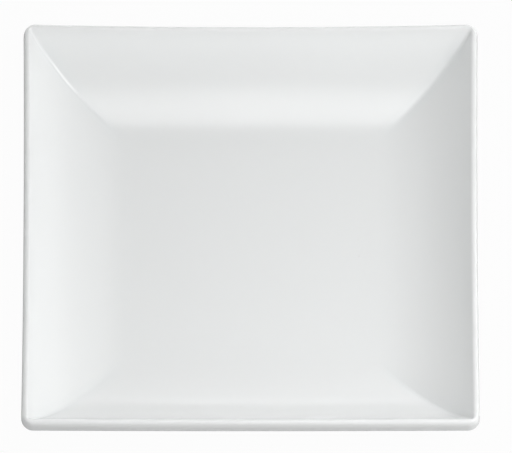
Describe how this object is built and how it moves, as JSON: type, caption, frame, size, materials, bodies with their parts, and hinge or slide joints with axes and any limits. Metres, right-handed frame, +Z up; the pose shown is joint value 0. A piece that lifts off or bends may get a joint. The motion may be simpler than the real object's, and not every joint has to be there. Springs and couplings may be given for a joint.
{
  "type": "square bread plate",
  "caption": "Square white porcelain bread plate with hollow curved walls, mitred inner corners, a thin rounded lip with raised corners and a bare foot ring, for serving bread or small sides.",
  "frame": {"origin": "middle of the square foot ring, on the table", "axes": "+Z up out of the well, +X and +Y along two neighbouring sides; the picture looks along +Y and down"},
  "size_m": [0.152, 0.152, 0.0283],
  "materials": {
    "porcelain": "bare fired clay, fine matt grain, seen only on the foot ring",
    "glaze": "smooth glossy white glaze",
    "base_glaze": "glossy white glaze, slightly less even than on top"
  },
  "bodies": {
    "root": {"porcelain_body": "porcelain", "glaze_coat": "glaze", "base_glaze": "base_glaze"}
  },
  "joints": []
}
